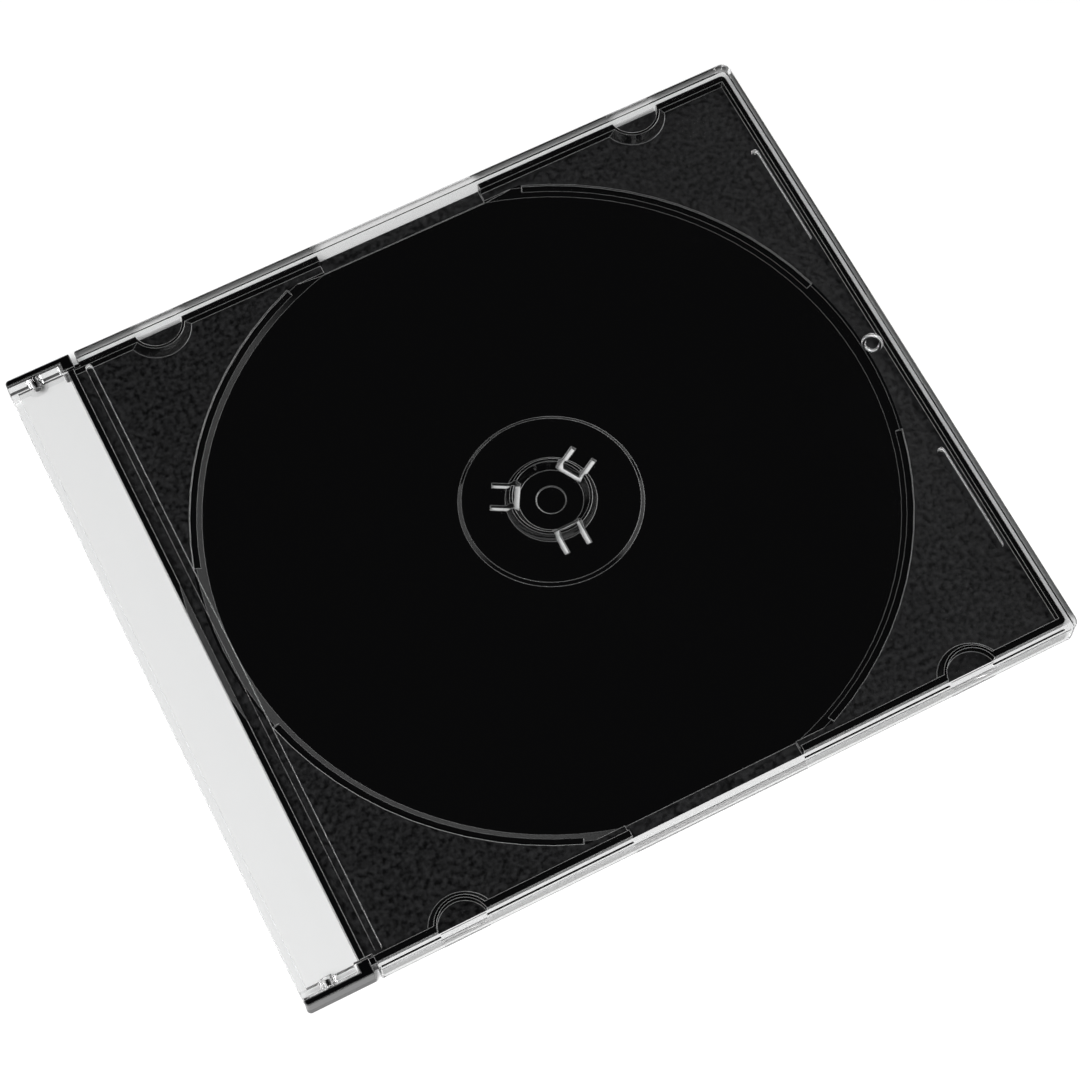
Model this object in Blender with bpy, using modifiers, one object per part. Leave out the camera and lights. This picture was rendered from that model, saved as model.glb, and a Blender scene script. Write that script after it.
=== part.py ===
"""Slim jewel case for one compact disc: a clear lid that turns on two pins of a black tray.

The case lies closed on its underside. X runs from the spine to the front, Y along the spine, Z up.
The origin is the middle of the underside. Paired features are drawn at the near side and mirrored.
"""
import math

import bpy
import bmesh
from mathutils import Matrix, Vector

MM = 0.001

# Outside of the closed case
LENGTH = 142.0 * MM
WIDTH = 124.0 * MM
HEIGHT = 5.2 * MM
FRONT_CORNER = 1.6 * MM
EDGE = 0.2 * MM

# Gaps between the two mouldings
FIT = 0.35 * MM
SIDE_FIT = 0.45 * MM
PLAY = 0.3 * MM

# Hinge: pins on the arms, turning in eyes of the lid
PIVOT = 4.85 * MM
PIN_RADIUS = 0.65 * MM
EYE_WALL = 0.75 * MM
EYE_STEP = 0.35 * MM
ARM_LENGTH = 12.1 * MM
ARM = 1.15 * MM
ARM_END_GAP = 0.9 * MM
EAR_LENGTH = 9.6 * MM
EAR = 1.5 * MM
EAR_DROP = 3.5 * MM
LINK_WIDTH = 1.6 * MM

# Lid
PANEL = 1.2 * MM
LID_SIDE = 1.3 * MM
LID_FRONT = 1.0 * MM
LID_SPINE = 1.3 * MM
RIB_DROP = 1.5 * MM
STOP_START = 13.64 * MM
STOP = 1.31 * MM
STOP_INSET = 3.12 * MM
FRONT_RIB_END = 3.56 * MM
FRONT_RIB = 1.37 * MM
FRONT_RIB_FROM = 22.8 * MM
FRONT_RIB_TO = 43.7 * MM
BOSS_INSET = 4.5 * MM
BOSS_RADIUS = 1.9 * MM
BOSS_BORE = 1.1 * MM
BOSS_DROP = 1.7 * MM
REAR_TAB = 28.3 * MM
FRONT_TAB = 19.7 * MM
TAB_CENTRE = 1.0 * MM
TAB_RADIUS = 4.1 * MM
TAB_THICK = 0.8 * MM
RIB_EDGE = 0.3 * MM
SIDE_END_CORNER = 0.4 * MM
WALL_FOOT = 0.35

# Tray
TRAY_REAR = 10.66 * MM
REAR_WALL = 1.1 * MM
SIDE_WALL = 1.2 * MM
FRONT_WALL = 0.95 * MM
FLOOR = 1.0 * MM
PLATE = 1.9 * MM
RECESS_WALL = 0.8 * MM
RECESS_FLARE = 1.25 * MM
GRIP_FROM = 59.0 * MM
GRIP_TO = 90.7 * MM
LEDGE_INSET = 4.4 * MM
LEDGE = 1.2 * MM
NAIL_SLOT = 19.4 * MM
NAIL_DEPTH = 0.65 * MM
NAIL_HEIGHT = 2.2 * MM

# Pocket for a 120 mm disc
DISC_CENTRE = 74.84 * MM
POCKET_FOOT = 59.8 * MM
POCKET_RIM = 61.4 * MM
STEP_INNER = 60.4 * MM
STEP_OUTER = 61.85 * MM
STEP = 1.48 * MM
STEP_ANGLES = (15.0, 68.0)
CORNER_HOLLOW = 63.0 * MM
HOLLOW_CEILING = 0.85 * MM
HOLLOW_RIM = 1.4 * MM
HOLLOW_FROM = 24.0 * MM

# Hub for the 15 mm hole of the disc
SEAT_FOOT = 16.0 * MM
SEAT_RADIUS = 15.4 * MM
SEAT = 1.5 * MM
HUB_FOOT = 7.9 * MM
HUB_FILLET = 0.3 * MM
HUB_RADIUS = 7.1 * MM
HUB_LIP = 6.6 * MM
HUB_TOP = 2.8 * MM
HUB_WELL = 5.6 * MM
WELL_FLOOR = 1.25 * MM
DIMPLE_RADIUS = 2.6 * MM
DIMPLE_SLOPE = 0.1 * MM
DIMPLE_FLOOR = 1.1 * MM
SPRINGS = 3
SPRING_FIRST = 30.0
SPRING_WIDTH = 3.3 * MM
SPRING_END = 6.3 * MM
SPRING_ROOT = 10.3 * MM
SLOT = 0.9 * MM
UNDERCUT_INNER = 4.4 * MM
UNDERCUT_OUTER = 11.2 * MM
UNDERCUT = 0.5 * MM

# Places that follow from the sizes above
SPINE = -LENGTH / 2
FRONT = LENGTH / 2
NEAR = -WIDTH / 2
PIVOT_HEIGHT = HEIGHT / 2
CEILING = HEIGHT - PANEL
EAR_EDGE = NEAR + ARM + PLAY
ARM_END = SPINE + ARM_LENGTH
LID_SIDE_START = ARM_END + ARM_END_GAP
LINK_START = SPINE + EAR_LENGTH + FIT
LINK_EDGE = NEAR + ARM + LINK_WIDTH
NOTCH_EDGE = LINK_EDGE + PLAY
TRAY_NEAR = NEAR + LID_SIDE + SIDE_FIT
TRAY_FRONT = FRONT - LID_FRONT - FIT
TRAY_START = SPINE + TRAY_REAR
WALL_TOP = CEILING - PLAY
TAB_BOTTOM = PLATE + PLAY
TAB_PLACES = (SPINE + REAR_TAB, FRONT - FRONT_TAB)
TAB_Y = NEAR + TAB_CENTRE
DISC_X = SPINE + DISC_CENTRE
PAST = 2.0 * MM

ROUND = 96
SMALL_ROUND = 40


def collection(name):
    made = bpy.data.collections.new(name)
    bpy.context.scene.collection.children.link(made)
    return made


def add_mesh(name, shape, home):
    """Object from a bmesh, in the collection home."""
    data = bpy.data.meshes.new(name)
    bmesh.ops.recalc_face_normals(shape, faces=shape.faces)
    shape.to_mesh(data)
    shape.free()
    data.shade_smooth()
    data.set_sharp_from_angle(angle=math.radians(35))
    made = bpy.data.objects.new(name, data)
    home.objects.link(made)
    return made


def block(name, low, high, home):
    """Box between two opposite corners."""
    shape = bmesh.new()
    bmesh.ops.create_cube(shape, size=1.0)
    bmesh.ops.scale(shape, vec=[b - a for a, b in zip(low, high)], verts=shape.verts)
    bmesh.ops.translate(shape, vec=[(a + b) / 2 for a, b in zip(low, high)], verts=shape.verts)
    return add_mesh(name, shape, home)


def drum(name, place, radius, low, high, home, top_radius=None, segments=SMALL_ROUND):
    """Upright cylinder, or a cone where top_radius is given, from height low to high."""
    shape = bmesh.new()
    top = radius if top_radius is None else top_radius
    bmesh.ops.create_cone(
        shape, cap_ends=True, segments=segments, radius1=radius, radius2=top, depth=high - low
    )
    bmesh.ops.translate(shape, vec=(place[0], place[1], (low + high) / 2), verts=shape.verts)
    return add_mesh(name, shape, home)


def rod(name, x, z, radius, y_from, y_to, home):
    """Cylinder that lies along Y."""
    shape = bmesh.new()
    bmesh.ops.create_cone(
        shape, cap_ends=True, segments=SMALL_ROUND, radius1=radius, radius2=radius, depth=y_to - y_from
    )
    bmesh.ops.rotate(shape, matrix=Matrix.Rotation(math.pi / 2, 3, 'X'), verts=shape.verts)
    bmesh.ops.translate(shape, vec=(x, (y_from + y_to) / 2, z), verts=shape.verts)
    return add_mesh(name, shape, home)


def rounded(corners, steps=5):
    """Outline through corners (x, y, radius), each corner with a radius turned into an arc."""
    path = []
    for i, (x, y, radius) in enumerate(corners):
        if radius == 0:
            path.append((x, y))
            continue
        before = corners[i - 1]
        after = corners[(i + 1) % len(corners)]
        arms = []
        for other in (before, after):
            reach = math.hypot(other[0] - x, other[1] - y)
            arms.append(((other[0] - x) / reach, (other[1] - y) / reach))
        centre = (x + radius * (arms[0][0] + arms[1][0]), y + radius * (arms[0][1] + arms[1][1]))
        for step in range(steps + 1):
            turn = math.pi / 2 * step / steps
            path.append((
                centre[0] - radius * (arms[1][0] * math.cos(turn) + arms[0][0] * math.sin(turn)),
                centre[1] - radius * (arms[1][1] * math.cos(turn) + arms[0][1] * math.sin(turn)),
            ))
    return path


def slab(name, path, low, high, home):
    """Flat outline raised from height low to high: a filled curve, made a mesh."""
    curve = bpy.data.curves.new(name, 'CURVE')
    curve.dimensions = '2D'
    curve.fill_mode = 'BOTH'
    curve.extrude = (high - low) / 2
    spline = curve.splines.new('POLY')
    spline.points.add(len(path) - 1)
    for point, (x, y) in zip(spline.points, path):
        point.co = (x, y, 0, 1)
    spline.use_cyclic_u = True
    drawn = bpy.data.objects.new(name, curve)
    home.objects.link(drawn)
    drawn.location.z = (low + high) / 2
    bpy.context.view_layer.update()
    data = bpy.data.meshes.new_from_object(drawn.evaluated_get(bpy.context.evaluated_depsgraph_get()))
    data.transform(drawn.matrix_world)
    bpy.data.objects.remove(drawn, do_unlink=True)
    bpy.data.curves.remove(curve)
    shape = bmesh.new()
    shape.from_mesh(data)
    bpy.data.meshes.remove(data)
    bmesh.ops.remove_doubles(shape, verts=shape.verts, dist=0.000001)
    bmesh.ops.dissolve_limit(shape, angle_limit=0.001, verts=shape.verts, edges=shape.edges)
    return add_mesh(name, shape, home)


def bar(name, profile, start, end, inward, home):
    """Straight prism along a wall of the lid, from start to end on the wall's outer face.

    The profile is (depth behind that face, height), and inward points into the wall.
    """
    shape = bmesh.new()
    ends = [
        [shape.verts.new((x + inward[0] * depth, y + inward[1] * depth, z)) for depth, z in profile]
        for x, y in (start, end)
    ]
    shape.faces.new(ends[0])
    shape.faces.new(ends[1][::-1])
    for i in range(len(profile)):
        shape.faces.new((ends[0][i - 1], ends[0][i], ends[1][i], ends[1][i - 1]))
    return add_mesh(name, shape, home)


def under_wall(thickness, steps=4):
    """Profile of what is taken off below a wall of the lid, so that both its lower edges are round."""
    radius = thickness * WALL_FOOT
    turns = [math.pi / 2 * step / steps for step in range(steps + 1)]
    arc = [(radius * (1 - math.cos(turn)), radius * (1 - math.sin(turn))) for turn in turns]
    before = (-arc[1][0], 2 * radius - arc[1][1])
    after = (before[1], before[0])
    outer = [(-PAST, -PAST), (-PAST, before[1]), before] + arc[1:-1] + [after]
    return outer + [(thickness - depth, z) for depth, z in reversed(outer)]


def turned(name, profile, home, segments=ROUND, x=DISC_X):
    """Solid turned from a profile (radius, height) that starts on top, about the disc's axis or at x."""
    shape = bmesh.new()
    points = [shape.verts.new((radius, 0, height)) for radius, height in profile]
    for first, second in zip(points, points[1:]):
        shape.edges.new((first, second))
    data = bpy.data.meshes.new(name)
    shape.to_mesh(data)
    shape.free()
    made = bpy.data.objects.new(name, data)
    made.location.x = x
    home.objects.link(made)
    screw = made.modifiers.new("Turn", 'SCREW')
    screw.angle = 2 * math.pi
    screw.steps = segments
    screw.render_steps = segments
    screw.use_merge_vertices = True
    screw.merge_threshold = 0.000001
    return made


def ring(name, inner, outer, low, high, home, segments=ROUND, x=DISC_X):
    """Flat ring about the disc's axis or at x."""
    closed = [(outer, high), (outer, low), (inner, low), (inner, high), (outer, high)]
    made = turned(name, closed, home, segments, x)
    weld = made.modifiers.new("Weld", 'WELD')
    weld.merge_threshold = 0.000001
    return made


def both_sides(made):
    """The same feature again at the far side."""
    mirror = made.modifiers.new("Far side", 'MIRROR')
    mirror.use_axis = (False, True, False)
    mirror.use_mirror_merge = False
    return made


def boolean(target, tool, operation):
    modifier = target.modifiers.new(tool.name, 'BOOLEAN')
    modifier.operation = operation
    modifier.solver = 'EXACT'
    modifier.object = tool
    tool.hide_render = True
    tool.display_type = 'WIRE'


def cut(target, tool):
    boolean(target, tool, 'DIFFERENCE')


def join(target, tool):
    boolean(target, tool, 'UNION')


def round_edges(made, radius=EDGE, segments=2):
    """Small radius on the sharp edges of a moulding's outline."""
    bevel = made.modifiers.new("Edges", 'BEVEL')
    bevel.width = radius
    bevel.segments = segments
    bevel.limit_method = 'ANGLE'
    bevel.angle_limit = math.radians(50)


def mirrored(half):
    """Closed outline from its near half, which runs from the spine to the front."""
    return half + [(x, -y, radius) for x, y, radius in reversed(half)]


def finish(made, name, colour, roughness):
    """Material and shading of a moulding."""
    material = bpy.data.materials.new(name)
    material.use_nodes = True
    shader = material.node_tree.nodes["Principled BSDF"]
    shader.inputs["Base Color"].default_value = colour
    shader.inputs["Alpha"].default_value = colour[3]
    shader.inputs["Roughness"].default_value = roughness
    shader.inputs["Metallic"].default_value = 0.0
    made.data.materials.append(material)


for old in list(bpy.data.objects):
    bpy.data.objects.remove(old, do_unlink=True)

case = collection("cd jewel case")
tools = collection("cutters")

# Lid: one clear moulding, drawn as its outline seen from above and hollowed from below.
# Behind the side walls it narrows, first for the links and then for the arms of the tray.
lid_outline = mirrored([
    (SPINE, EAR_EDGE, 0),
    (SPINE + EAR_LENGTH, EAR_EDGE, 0),
    (SPINE + EAR_LENGTH, NOTCH_EDGE, 0),
    (LID_SIDE_START, NOTCH_EDGE, 0),
    (LID_SIDE_START, NEAR, SIDE_END_CORNER),
    (FRONT, NEAR, FRONT_CORNER),
])
lid = slab("lid", rounded(lid_outline), 0, HEIGHT, case)
round_edges(lid)
hollow_outline = mirrored([
    (SPINE + LID_SPINE, EAR_EDGE + EAR, 0),
    (SPINE + EAR_LENGTH, EAR_EDGE + EAR, 0),
    (SPINE + EAR_LENGTH, NEAR + LID_SIDE, 0),
    (FRONT - LID_FRONT, NEAR + LID_SIDE, FRONT_CORNER - LID_FRONT),
])
cut(lid, slab("lid hollow", rounded(hollow_outline), -PAST, CEILING, tools))

# The ears end above the tray's pins' underside, so that they clear the links as the lid turns
ear_cut = block(
    "ear underside",
    (SPINE - PAST, EAR_EDGE - PAST, -PAST),
    (SPINE + EAR_LENGTH + PAST, EAR_EDGE + EAR + EYE_STEP, HEIGHT - EAR_DROP),
    tools,
)
cut(lid, both_sides(ear_cut))
eye = rod(
    "eye", SPINE + PIVOT, PIVOT_HEIGHT, PIN_RADIUS + PLAY + EYE_WALL,
    EAR_EDGE, EAR_EDGE + EAR + EYE_STEP, tools,
)
join(lid, both_sides(eye))
bore = rod(
    "eye bore", SPINE + PIVOT, PIVOT_HEIGHT, PIN_RADIUS + PLAY,
    EAR_EDGE - PAST, EAR_EDGE + EAR + EYE_STEP + PAST, tools,
)
cut(lid, both_sides(bore))

# Ribs and a hollow boss under the panel hold the booklet away from the hinge and the front
rib_bottom = CEILING - RIB_DROP
rib_root = CEILING + PANEL / 2
stop_end = NEAR + STOP_INSET
stop = slab("booklet stop", rounded(mirrored([
    (SPINE + STOP_START, stop_end, STOP * 0.49),
    (SPINE + STOP_START + STOP, stop_end, STOP * 0.49),
]), 4), rib_bottom, rib_root, tools)
round_edges(stop, RIB_EDGE, 3)
join(lid, stop)
rib_front = FRONT - FRONT_RIB_END
front_rib = slab("front rib", rounded([
    (rib_front - FRONT_RIB, -FRONT_RIB_TO, FRONT_RIB * 0.49),
    (rib_front, -FRONT_RIB_TO, FRONT_RIB * 0.49),
    (rib_front, -FRONT_RIB_FROM, FRONT_RIB * 0.49),
    (rib_front - FRONT_RIB, -FRONT_RIB_FROM, FRONT_RIB * 0.49),
], 4), rib_bottom, rib_root, tools)
round_edges(front_rib, RIB_EDGE, 3)
join(lid, both_sides(front_rib))
boss = ring(
    "boss", BOSS_BORE, BOSS_RADIUS, CEILING - BOSS_DROP, rib_root, tools, SMALL_ROUND, FRONT - BOSS_INSET
)
round_edges(boss, RIB_EDGE, 3)
join(lid, boss)

# Four half-round tabs on the side walls carry the booklet
for number, place in enumerate(TAB_PLACES, 1):
    tab = drum(
        f"tab {number}", (place, TAB_Y), TAB_RADIUS,
        TAB_BOTTOM, TAB_BOTTOM + TAB_THICK, tools,
    )
    round_edges(tab, RIB_EDGE, 3)
    cut(tab, block(
        f"tab trim {number}",
        (place - 2 * TAB_RADIUS, TAB_Y - 2 * TAB_RADIUS, 0),
        (place + 2 * TAB_RADIUS, NEAR + LID_SIDE / 2, HEIGHT),
        tools,
    ))
    join(lid, both_sides(tab))

# The walls end in round edges, save at the tabs, at the finger gaps and at the nail slot
side_spans = (
    (LID_SIDE_START + SIDE_END_CORNER + EDGE, TAB_PLACES[0] - TAB_RADIUS),
    (TAB_PLACES[0] + TAB_RADIUS, SPINE + GRIP_FROM),
    (SPINE + GRIP_TO, TAB_PLACES[1] - TAB_RADIUS),
    (TAB_PLACES[1] + TAB_RADIUS, FRONT - FRONT_CORNER - EDGE),
)
for number, (start, end) in enumerate(side_spans, 1):
    under_side = bar(
        f"under side wall {number}", under_wall(LID_SIDE), (start, NEAR), (end, NEAR), (0, 1), tools
    )
    cut(lid, both_sides(under_side))
under_front = bar(
    "under front wall", under_wall(LID_FRONT),
    (FRONT, NEAR + FRONT_CORNER + EDGE), (FRONT, -NAIL_SLOT / 2), (-1, 0), tools,
)
cut(lid, both_sides(under_front))

# Tray: one black moulding, a low box whose floor is sunk for the disc. Behind it two arms, each
# carried by a link, reach past the lid to the ends of the spine.
tray_outline = mirrored([
    (TRAY_START, LINK_EDGE, 0),
    (LINK_START, LINK_EDGE, 0),
    (LINK_START, NEAR + ARM, 0),
    (SPINE, NEAR + ARM, 0),
    (SPINE, NEAR, ARM * 0.6),
    (ARM_END, NEAR, 0),
    (ARM_END, TRAY_NEAR, 0),
    (TRAY_FRONT, TRAY_NEAR, FRONT_CORNER - LID_FRONT + FIT),
])
tray = slab("tray", rounded(tray_outline), 0, HEIGHT, case)
round_edges(tray)

# Only the arms and links are as high as the closed case, the rest stays under the lid's panel
above_walls = mirrored([
    (SPINE, LINK_EDGE, 0),
    (ARM_END, LINK_EDGE, 0),
    (ARM_END, NEAR - PAST, 0),
    (FRONT, NEAR - PAST, 0),
])
cut(tray, slab("above the walls", rounded(above_walls), WALL_TOP, HEIGHT + PAST, tools))
inside = block(
    "tray inside",
    (TRAY_START + REAR_WALL, TRAY_NEAR + SIDE_WALL, PLATE),
    (TRAY_FRONT - FRONT_WALL, -TRAY_NEAR - SIDE_WALL, HEIGHT + PAST),
    tools,
)
recess = TAB_RADIUS + FIT
for number, place in enumerate(TAB_PLACES, 1):
    bend = drum(
        f"wall bend {number}", (place, TAB_Y), recess + RECESS_WALL + RECESS_FLARE,
        PLATE - FLOOR, WALL_TOP + PAST, tools,
        top_radius=recess + RECESS_WALL - RECESS_FLARE * PAST / (WALL_TOP - PLATE),
    )
    cut(inside, both_sides(bend))
cut(tray, inside)
for number, place in enumerate(TAB_PLACES, 1):
    opening = drum(f"tab recess {number}", (place, TAB_Y), recess, PLATE, HEIGHT, tools)
    cut(tray, both_sides(opening))

# The side walls stop beside the disc, where a low ledge leaves room for a finger
grip = block(
    "finger gap",
    (SPINE + GRIP_FROM, NEAR - PAST, LEDGE),
    (SPINE + GRIP_TO, NEAR + LEDGE_INSET + PLAY, HEIGHT),
    tools,
)
cut(tray, both_sides(grip))

# Pocket for the disc, its edge sloping, cut straight along the two ledges
slope = (POCKET_RIM - POCKET_FOOT) / (PLATE - FLOOR)
pocket = turned("disc pocket", [
    (0, HEIGHT),
    (POCKET_RIM + slope * (HEIGHT - PLATE), HEIGHT),
    (POCKET_FOOT, FLOOR),
    (0, FLOOR),
], tools)
straight = block(
    "pocket side",
    (SPINE, NEAR - PAST, -PAST),
    (FRONT, NEAR + LEDGE_INSET, HEIGHT + PAST),
    tools,
)
cut(pocket, straight)
far_straight = block(
    "pocket far side",
    (SPINE, -NEAR - LEDGE_INSET, -PAST),
    (FRONT, -NEAR + PAST, HEIGHT + PAST),
    tools,
)
cut(pocket, far_straight)
cut(tray, pocket)

# A step in each quarter of the pocket's edge
arc = range(13)
first, last = STEP_ANGLES
for name, toward in (("front", 1), ("rear", -1)):
    turns = [math.radians(first + (last - first) * i / (len(arc) - 1)) for i in arc]
    outer = [(DISC_X + toward * STEP_OUTER * math.cos(t), -STEP_OUTER * math.sin(t)) for t in turns]
    inner = [(DISC_X + toward * STEP_INNER * math.cos(t), -STEP_INNER * math.sin(t)) for t in turns]
    cut(tray, both_sides(slab(f"{name} step", outer + inner[::-1], STEP, HEIGHT, tools)))

# Hub: a low seat for the middle of the disc, and a raised rim that grips its hole
seat_slope = (SEAT_FOOT - SEAT_RADIUS) / (SEAT - FLOOR)
hub = turned("hub", [
    (0, DIMPLE_FLOOR),
    (DIMPLE_RADIUS - DIMPLE_SLOPE, DIMPLE_FLOOR),
    (DIMPLE_RADIUS, WELL_FLOOR),
    (HUB_WELL, WELL_FLOOR),
    (HUB_LIP, HUB_TOP),
    (HUB_RADIUS, HUB_TOP),
    (HUB_FOOT - HUB_FILLET, SEAT + HUB_FILLET),
    (HUB_FOOT, SEAT),
    (SEAT_RADIUS, SEAT),
    (SEAT_FOOT + seat_slope * FLOOR / 2, FLOOR / 2),
    (0, FLOOR / 2),
], tools)
join(tray, hub)
cut(tray, ring("undercut", UNDERCUT_INNER, UNDERCUT_OUTER, -PAST, UNDERCUT, tools, 48))

# Each spring tongue is freed by a slot round three of its sides
half_tongue = SPRING_WIDTH / 2
slot_outline = [
    (SPRING_ROOT, half_tongue),
    (SPRING_ROOT, half_tongue + SLOT),
    (SPRING_END - SLOT, half_tongue + SLOT),
    (SPRING_END - SLOT, -half_tongue - SLOT),
    (SPRING_ROOT, -half_tongue - SLOT),
    (SPRING_ROOT, -half_tongue),
    (SPRING_END, -half_tongue),
    (SPRING_END, half_tongue),
]
for number in range(SPRINGS):
    turn = math.radians(SPRING_FIRST + 360 * number / SPRINGS)
    path = [
        (DISC_X + r * math.cos(turn) - s * math.sin(turn), r * math.sin(turn) + s * math.cos(turn))
        for r, s in slot_outline
    ]
    cut(tray, slab(f"slot {number + 1}", path, -PAST, HEIGHT, tools))

# Shallow hollows under the four raised corners keep the moulding's thickness even
clear_of_disc = drum("clear of disc", (DISC_X, 0), CORNER_HOLLOW, -PAST, HEIGHT, tools, segments=ROUND)
hollow_near = TRAY_NEAR + HOLLOW_RIM
for name, low, high in (
    ("rear hollow", TRAY_START + HOLLOW_RIM, DISC_X),
    ("front hollow", DISC_X, TRAY_FRONT - HOLLOW_RIM),
):
    hollow = block(name, (low, hollow_near, -PAST), (high, -HOLLOW_FROM, HOLLOW_CEILING), tools)
    cut(hollow, clear_of_disc)
    cut(tray, both_sides(hollow))

# Slot in the front edge, where a nail gets behind the lid's front wall
nail = block(
    "nail slot",
    (TRAY_FRONT - NAIL_DEPTH, -NAIL_SLOT / 2, -PAST),
    (TRAY_FRONT + PAST, NAIL_SLOT / 2, NAIL_HEIGHT),
    tools,
)
cut(tray, nail)

# A pin on each arm
pin = rod(
    "pin", SPINE + PIVOT, PIVOT_HEIGHT, PIN_RADIUS,
    NEAR + ARM / 2, EAR_EDGE + EAR, tools,
)
join(tray, both_sides(pin))

finish(lid, "clear polystyrene", (0.93, 0.94, 0.94, 0.2), 0.03)
finish(tray, "black polystyrene", (0.012, 0.012, 0.013, 1.0), 0.25)

# The lid turns about the line through its two eyes, so its origin lies on that line
axis = Vector((SPINE + PIVOT, 0, PIVOT_HEIGHT))
lid.data.transform(Matrix.Translation(-axis))
lid.location = axis
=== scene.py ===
import math

import bpy
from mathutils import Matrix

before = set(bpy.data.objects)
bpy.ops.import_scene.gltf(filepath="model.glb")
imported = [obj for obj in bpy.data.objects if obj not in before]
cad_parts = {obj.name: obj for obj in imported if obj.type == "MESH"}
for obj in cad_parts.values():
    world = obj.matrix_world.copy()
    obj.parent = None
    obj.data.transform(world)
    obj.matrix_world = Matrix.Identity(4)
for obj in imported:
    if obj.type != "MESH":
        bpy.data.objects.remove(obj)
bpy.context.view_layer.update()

# ---------------------------------------------------------------- tray
# The tray is one moulding of black polystyrene. Its disc pocket and hub come
# out of a polished mould, the plates in its corners and its two low ledges
# out of an etched one.
MM = 0.001

weld = 0.001 * MM
round_walls = bpy.data.node_groups.new("round walls", "GeometryNodeTree")
for name, way, kind in (
    ("Moulding", "INPUT", "NodeSocketGeometry"),
    ("Crease", "INPUT", "NodeSocketFloat"),
    ("Moulding", "OUTPUT", "NodeSocketGeometry"),
):
    round_walls.interface.new_socket(name, in_out=way, socket_type=kind)
nodes = round_walls.nodes
links = round_walls.links
raw = nodes.new("NodeGroupInput")
welded = nodes.new("GeometryNodeMergeByDistance")
welded.inputs["Distance"].default_value = weld
links.new(raw.outputs["Moulding"], welded.inputs["Geometry"])
curved = nodes.new("GeometryNodeSetShadeSmooth")
links.new(welded.outputs["Geometry"], curved.inputs["Geometry"])
bend = nodes.new("GeometryNodeInputMeshEdgeAngle")
crisp = nodes.new("FunctionNodeCompare")
crisp.operation = "GREATER_THAN"
links.new(bend.outputs["Unsigned Angle"], crisp.inputs["A"])
links.new(raw.outputs["Crease"], crisp.inputs["B"])
creased = nodes.new("GeometryNodeSetShadeSmooth")
creased.domain = "EDGE"
creased.inputs["Shade Smooth"].default_value = False
links.new(curved.outputs["Geometry"], creased.inputs["Geometry"])
links.new(crisp.outputs["Result"], creased.inputs["Selection"])
shaded = nodes.new("NodeGroupOutput")
links.new(creased.outputs["Geometry"], shaded.inputs["Moulding"])


def dress_moulding(moulding, plastic, crease_degrees):
    """One plastic all over; round walls shine without a break, and edges stay crisp."""
    moulding.data.materials.clear()
    moulding.data.materials.append(plastic)
    smooth = moulding.modifiers.new("round walls", "NODES")
    smooth.node_group = round_walls
    crease = round_walls.interface.items_tree["Crease"].identifier
    smooth[crease] = math.radians(crease_degrees)


def work_out(tree, kind, operation, *given):
    """A math node, fed with plain values and with the outputs of other nodes."""
    step = tree.nodes.new(kind)
    step.operation = operation
    for socket, value in zip(step.inputs, given):
        if isinstance(value, bpy.types.NodeSocket):
            tree.links.new(value, socket)
        else:
            socket.default_value = value
    return step


def number(tree, operation, *given):
    """The number that one step of reckoning gives."""
    return work_out(tree, "ShaderNodeMath", operation, *given).outputs["Value"]


def vector_number(tree, operation, *given):
    """The number that one step of reckoning with vectors gives."""
    return work_out(tree, "ShaderNodeVectorMath", operation, *given).outputs["Value"]


def graded(tree, value, start, end, low=0.0, high=1.0, change="LINEAR"):
    """A number that runs from low, where the value is at start, to high at end."""
    scale = tree.nodes.new("ShaderNodeMapRange")
    scale.interpolation_type = change
    for name, limit in (("From Min", start), ("From Max", end), ("To Min", low), ("To Max", high)):
        scale.inputs[name].default_value = limit
    tree.links.new(value, scale.inputs["Value"])
    return scale.outputs["Result"]


def split_up(tree, vector):
    """The node that gives the X, Y and Z of a vector."""
    split = tree.nodes.new("ShaderNodeSeparateXYZ")
    tree.links.new(vector, split.inputs[0])
    return split


marks_from = 0.48
marks_full = 0.7
handling = bpy.data.node_groups.new("handling marks", "ShaderNodeTree")
for name, way, kind in (
    ("Place", "INPUT", "NodeSocketVector"),
    ("Patch Scale", "INPUT", "NodeSocketFloat"),
    ("Marks", "OUTPUT", "NodeSocketFloat"),
):
    handling.interface.new_socket(name, in_out=way, socket_type=kind)
given = handling.nodes.new("NodeGroupInput")
smudges = handling.nodes.new("ShaderNodeTexNoise")
smudges.inputs["Detail"].default_value = 5
smudges.inputs["Distortion"].default_value = 0.6
handling.links.new(given.outputs["Place"], smudges.inputs["Vector"])
handling.links.new(given.outputs["Patch Scale"], smudges.inputs["Scale"])
patches = graded(handling, smudges.outputs["Fac"], marks_from, marks_full, change="SMOOTHSTEP")
made = handling.nodes.new("NodeGroupOutput")
handling.links.new(patches, made.inputs["Marks"])


def touch(tree, place, patch_scale, dulling, roughness):
    """The roughness of a surface once its patches have been handled."""
    marks = tree.nodes.new("ShaderNodeGroup")
    marks.node_tree = handling
    marks.inputs["Patch Scale"].default_value = patch_scale
    tree.links.new(place, marks.inputs["Place"])
    return number(tree, "MULTIPLY_ADD", marks.outputs["Marks"], dulling, roughness)


polystyrene_ior = 1.59
tray_black = bpy.data.materials.new("black polystyrene")
tray_black.use_nodes = True
tree = tray_black.node_tree
nodes = tree.nodes
links = tree.links
shader = nodes["Principled BSDF"]
shader.inputs["IOR"].default_value = polystyrene_ior
place = nodes.new("ShaderNodeTexCoord").outputs["Object"]

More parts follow.
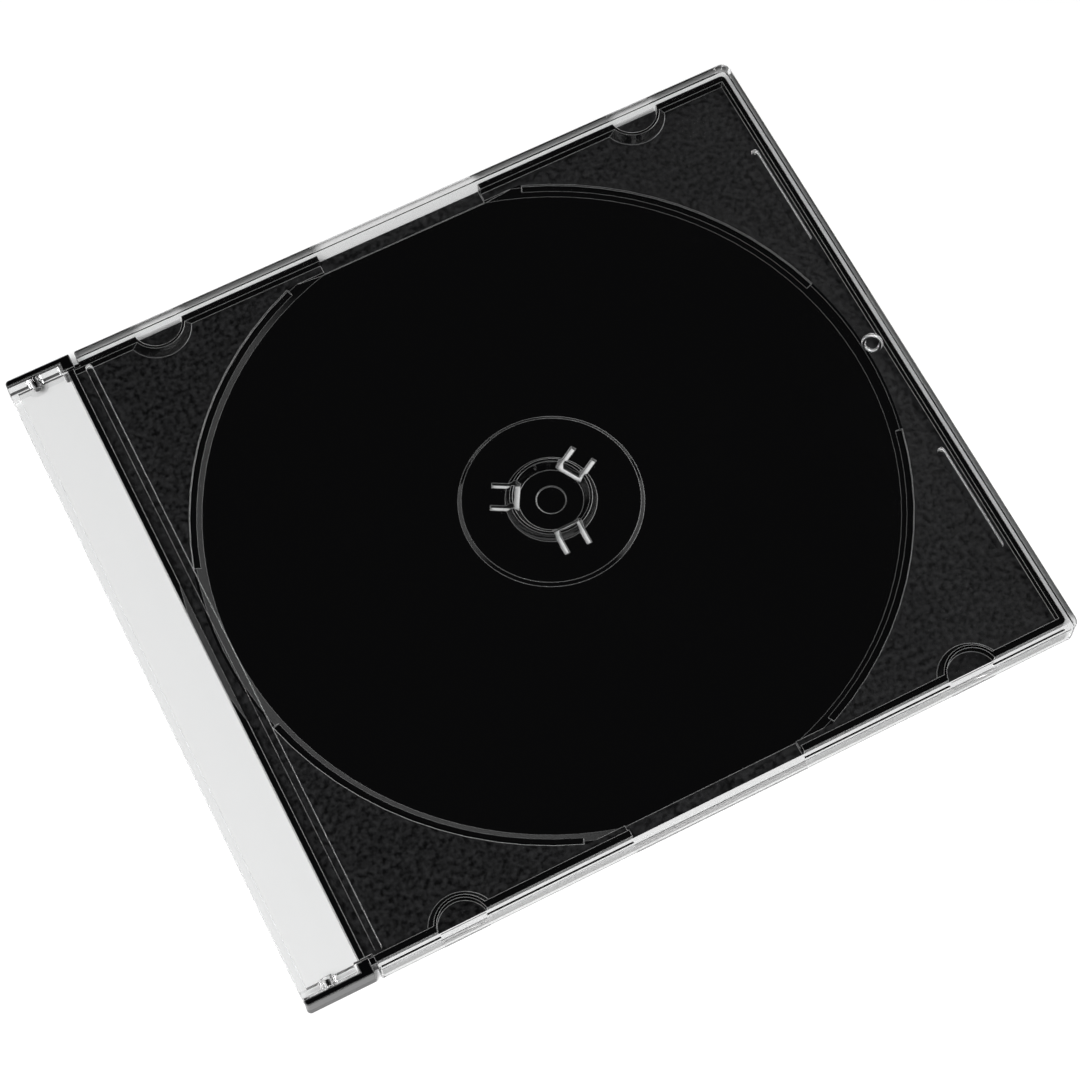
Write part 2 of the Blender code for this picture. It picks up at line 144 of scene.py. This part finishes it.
# The plates lie outside a circle about the disc and the ledges beyond a line
# at each side of it, and both are lower than the walls and the arms
disc_centre = 3.84 * MM
plates_from = 61.9 * MM
ledges_from = 57.6 * MM
plates_below = 2.1 * MM
from_disc = work_out(
    tree, "ShaderNodeVectorMath", "MULTIPLY_ADD",
    place, (1.0, 1.0, 0.0), (-disc_centre, 0.0, 0.0),
).outputs["Vector"]
plates = number(tree, "GREATER_THAN", vector_number(tree, "LENGTH", from_disc), plates_from)
split = split_up(tree, place)
from_middle = number(tree, "ABSOLUTE", split.outputs["Y"])
ledges = number(tree, "GREATER_THAN", from_middle, ledges_from)
either = number(tree, "MAXIMUM", plates, ledges)
low = number(tree, "LESS_THAN", split.outputs["Z"], plates_below)
etched = number(tree, "MULTIPLY", either, low)

# Etched grain, on top of edges that are a little round
grain_scale = 1100
grain_depth = 0.05 * MM
grain_strength = 0.2
tray_rounding = 0.18 * MM
grain = nodes.new("ShaderNodeTexNoise")
grain.inputs["Scale"].default_value = grain_scale
grain.inputs["Detail"].default_value = 4
links.new(place, grain.inputs["Vector"])
height = number(tree, "MULTIPLY", grain.outputs["Fac"], etched)
round_off = nodes.new("ShaderNodeBevel")
round_off.samples = 8
round_off.inputs["Radius"].default_value = tray_rounding
bump = nodes.new("ShaderNodeBump")
bump.inputs["Strength"].default_value = grain_strength
bump.inputs["Distance"].default_value = grain_depth
links.new(round_off.outputs["Normal"], bump.inputs["Normal"])
links.new(height, bump.inputs["Height"])
links.new(bump.outputs["Normal"], shader.inputs["Normal"])

# An edge is where the rounding turns the surface away from its flat face
flat_face = 0.995
full_edge = 0.9
flat = nodes.new("ShaderNodeNewGeometry")
turn = vector_number(tree, "DOT_PRODUCT", flat.outputs["Normal"], round_off.outputs["Normal"])
edge = graded(tree, turn, flat_face, full_edge)

polished_roughness = 0.05
etched_roughness = 0.28
edge_roughness = 0.3
gloss = graded(tree, etched, 0.0, 1.0, polished_roughness, etched_roughness)
edge_gloss = nodes.new("ShaderNodeMix")
edge_gloss.inputs["B"].default_value = edge_roughness
links.new(edge, edge_gloss.inputs["Factor"])
links.new(gloss, edge_gloss.inputs["A"])
roughness = touch(
    tree, place, patch_scale=45, dulling=0.06, roughness=edge_gloss.outputs["Result"]
)
links.new(roughness, shader.inputs["Roughness"])

# Black in the pocket and in the pits of the grain, dark grey on its peaks,
# and a painted highlight along the edges: pale there, and metallic as well, so that the edges also
# mirror the walls
black = (0.0015, 0.0015, 0.0017, 1)
dark_grey = (0.028, 0.028, 0.029, 1)
painted_highlight_edge = (0.85, 0.85, 0.85, 1)
pits = 0.35
peaks = 0.7
tint = nodes.new("ShaderNodeMix")
tint.data_type = "RGBA"
tint.inputs["A"].default_value = black
tint.inputs["B"].default_value = dark_grey
links.new(graded(tree, height, pits, peaks), tint.inputs["Factor"])
# The pale colour along the edges is a painted highlight, not the plastic's own colour
painted_highlight_tint = nodes.new("ShaderNodeMix")
painted_highlight_tint.data_type = "RGBA"
painted_highlight_tint.inputs["B"].default_value = painted_highlight_edge
links.new(edge, painted_highlight_tint.inputs["Factor"])
links.new(tint.outputs["Result"], painted_highlight_tint.inputs["A"])
links.new(painted_highlight_tint.outputs["Result"], shader.inputs["Base Color"])
# The painted highlight edges are made metallic, so they mirror the walls on top of their pale
# colour
links.new(edge, shader.inputs["Metallic"])

dress_moulding(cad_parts["tray"], tray_black, crease_degrees=20)

# ---------------------------------------------------------------- lid
# The lid is one moulding of clear polystyrene, polished but for the flanks of
# the ribs, the tabs and the boss under it, where the cutter's marks are left.
# Its ears snap over the tray's two pins.
clear_tint = (0.975, 0.98, 0.98, 1)
clear = bpy.data.materials.new("clear polystyrene")
clear.use_nodes = True
tree = clear.node_tree
nodes = tree.nodes
links = tree.links
shader = nodes["Principled BSDF"]
shader.inputs["IOR"].default_value = polystyrene_ior
shader.inputs["Transmission Weight"].default_value = 1.0
shader.inputs["Base Color"].default_value = clear_tint
place = nodes.new("ShaderNodeTexCoord").outputs["Object"]

# The ribs, the tabs and the boss hang below the panel, inside the walls
panel_underside = 3.97 * MM
front_wall = 68.5 * MM
side_walls = 59.5 * MM
split = split_up(tree, place)
hanging = number(tree, "LESS_THAN", split.outputs["Z"], panel_underside)
before_front = number(tree, "LESS_THAN", split.outputs["X"], front_wall)
from_middle = number(tree, "ABSOLUTE", split.outputs["Y"])
between_walls = number(tree, "LESS_THAN", from_middle, side_walls)
inside = number(tree, "MULTIPLY", before_front, between_walls)
ribs = number(tree, "MULTIPLY", hanging, inside)

# Their flanks are all that doesn't face up or down
lid_rounding = 0.3 * MM
facing_up = 0.95
rounded = nodes.new("ShaderNodeBevel")
rounded.samples = 6
rounded.inputs["Radius"].default_value = lid_rounding
to_lid = nodes.new("ShaderNodeVectorTransform")
to_lid.vector_type = "NORMAL"
to_lid.convert_from = "WORLD"
to_lid.convert_to = "OBJECT"
links.new(rounded.outputs["Normal"], to_lid.inputs["Vector"])
facing = split_up(tree, to_lid.outputs["Vector"])
level = number(tree, "ABSOLUTE", facing.outputs["Z"])
flanks = number(tree, "LESS_THAN", level, facing_up)

flank_roughness = 0.45
matt = number(tree, "MULTIPLY", ribs, flanks)
haze = number(tree, "MULTIPLY", matt, flank_roughness)
roughness = touch(tree, place, patch_scale=30, dulling=0.02, roughness=haze)
links.new(roughness, shader.inputs["Roughness"])

# Light for the table and the tray passes the clear plastic without bending.
# So does what the tray mirrors, which is light in the air: it has crossed the
# faces of the plastic an even number of times.
passed_tint = (0.95, 0.95, 0.95, 1)
path = nodes.new("ShaderNodeLightPath")
lighting = number(tree, "MAXIMUM", path.outputs["Is Shadow Ray"], path.outputs["Is Diffuse Ray"])
odd_crossings = number(tree, "MODULO", path.outputs["Transmission Depth"], 2)
in_air = number(tree, "LESS_THAN", odd_crossings, 0.5)
off_tray = number(tree, "MULTIPLY", in_air, path.outputs["Is Glossy Ray"])
straight = number(tree, "MAXIMUM", lighting, off_tray)
passing = nodes.new("ShaderNodeBsdfTransparent")
passing.inputs["Color"].default_value = passed_tint
both = nodes.new("ShaderNodeMixShader")
links.new(straight, both.inputs[0])
links.new(shader.outputs[0], both.inputs[1])
links.new(passing.outputs[0], both.inputs[2])
links.new(both.outputs[0], nodes["Material Output"].inputs["Surface"])

dress_moulding(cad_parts["lid"], clear, crease_degrees=12)

# ---------------------------------------------------------------- studio
# The case lies on a white table top under one soft lamp over the camera's
# shoulder. The walls show a tall white screen at the right, a low one at the
# left and a pale skirting, and they are dark where the flat lid mirrors them.
table_size = 3.0
under_case = 0.1 * MM
table_white = (0.9, 0.9, 0.9, 1)
bpy.ops.object.select_all(action="DESELECT")
bpy.ops.mesh.primitive_plane_add(size=table_size, location=(0, 0, -under_case))
table = bpy.context.object
table.name = "table_top"
white = bpy.data.materials.new("white table top")
white.use_nodes = True
tree = white.node_tree
nodes = tree.nodes
links = tree.links
shader = nodes["Principled BSDF"]
shader.inputs["Base Color"].default_value = table_white
shader.inputs["Roughness"].default_value = 0.9
shader.inputs["Specular IOR Level"].default_value = 0.0

# To the camera the table top pales into the white behind it, away from the case
near_case = 0.2
far_from_case = 0.9
lift_near_case = 0.14
lift_everywhere = 0.03
place = nodes.new("ShaderNodeTexCoord").outputs["Object"]
away = vector_number(tree, "LENGTH", place)
paling = graded(tree, away, near_case, far_from_case, lift_near_case, change="SMOOTHSTEP")
path = nodes.new("ShaderNodeLightPath")
lift = number(tree, "MULTIPLY_ADD", path.outputs["Is Camera Ray"], paling, lift_everywhere)
shine = nodes.new("ShaderNodeEmission")
links.new(lift, shine.inputs["Strength"])
total = nodes.new("ShaderNodeAddShader")
links.new(shader.outputs[0], total.inputs[0])
links.new(shine.outputs[0], total.inputs[1])
links.new(total.outputs[0], nodes["Material Output"].inputs["Surface"])
table.data.materials.append(white)

world = bpy.data.worlds.new("studio")
bpy.context.scene.world = world
world.use_nodes = True
tree = world.node_tree
nodes = tree.nodes
links = tree.links
sky = nodes["Background"]
sky.inputs["Color"].default_value = (1.0, 1.0, 1.0, 1)
direction = nodes.new("ShaderNodeTexCoord").outputs["Generated"]

towards_tall_screen = (0.985, 0.17, 0.0)
towards_low_screen = (-0.63, 0.32, -0.71)
dark_wall = 0.012
to_right = vector_number(tree, "DOT_PRODUCT", direction, towards_tall_screen)
tall_screen = graded(
    tree, to_right, start=0.38, end=0.58, low=dark_wall, change="SMOOTHSTEP"
)
to_left = vector_number(tree, "DOT_PRODUCT", direction, towards_low_screen)
low_screen = graded(tree, to_left, start=0.2, end=0.45, change="SMOOTHSTEP")
screens = number(tree, "MAXIMUM", tall_screen, low_screen)

skirting_ends = 0.35
skirting_full = 0.15
up = split_up(tree, direction)
skirting = graded(tree, up.outputs["Z"], skirting_ends, skirting_full, change="SMOOTHSTEP")
walls = number(tree, "MAXIMUM", screens, skirting)

# Mirrors and clear plastic show the walls in full, matt surfaces get a little
# light from them, and the camera sees white
wall_light = 0.15
path = nodes.new("ShaderNodeLightPath")
mirrored = number(
    tree, "MAXIMUM", path.outputs["Is Glossy Ray"], path.outputs["Is Transmission Ray"]
)
dimmed = number(tree, "MAXIMUM", mirrored, wall_light)
lit_walls = number(tree, "MULTIPLY", walls, dimmed)
seen = number(tree, "MAXIMUM", lit_walls, path.outputs["Is Camera Ray"])
links.new(seen, sky.inputs["Strength"])

lamp_azimuth = math.radians(226)
lamp_elevation = math.radians(64)
lamp_reach = 1.8
lamp = bpy.data.lights.new("soft lamp over the camera", "AREA")
lamp.size = 0.8
lamp.energy = 37.6
key = bpy.data.objects.new(lamp.name, lamp)
bpy.context.scene.collection.objects.link(key)
key.location = (
    lamp_reach * math.cos(lamp_elevation) * math.cos(lamp_azimuth),
    lamp_reach * math.cos(lamp_elevation) * math.sin(lamp_azimuth),
    lamp_reach * math.sin(lamp_elevation),
)
key.rotation_euler = (math.pi / 2 - lamp_elevation, 0, lamp_azimuth + math.pi / 2)
key.visible_glossy = False

# ---------------------------------------------------------------- camera
# The camera stands above the near side and looks down on the closed case. Its
# place, turn and lens were fitted to the corners of the case.
camera_place = (-0.083733, -0.183726, 0.450021)
camera_turn = (23.6115, 0.8748, -26.8739)
focal_length = 95.95
lens = bpy.data.cameras.new("camera")
lens.lens = focal_length
lens.sensor_width = 36
lens.clip_start = 0.01
camera = bpy.data.objects.new("camera", lens)
bpy.context.scene.collection.objects.link(camera)
camera.location = camera_place
camera.rotation_euler = [math.radians(degrees) for degrees in camera_turn]
bpy.context.scene.camera = camera
bpy.context.scene.view_settings.view_transform = "Standard"

bpy.context.view_layer.update()
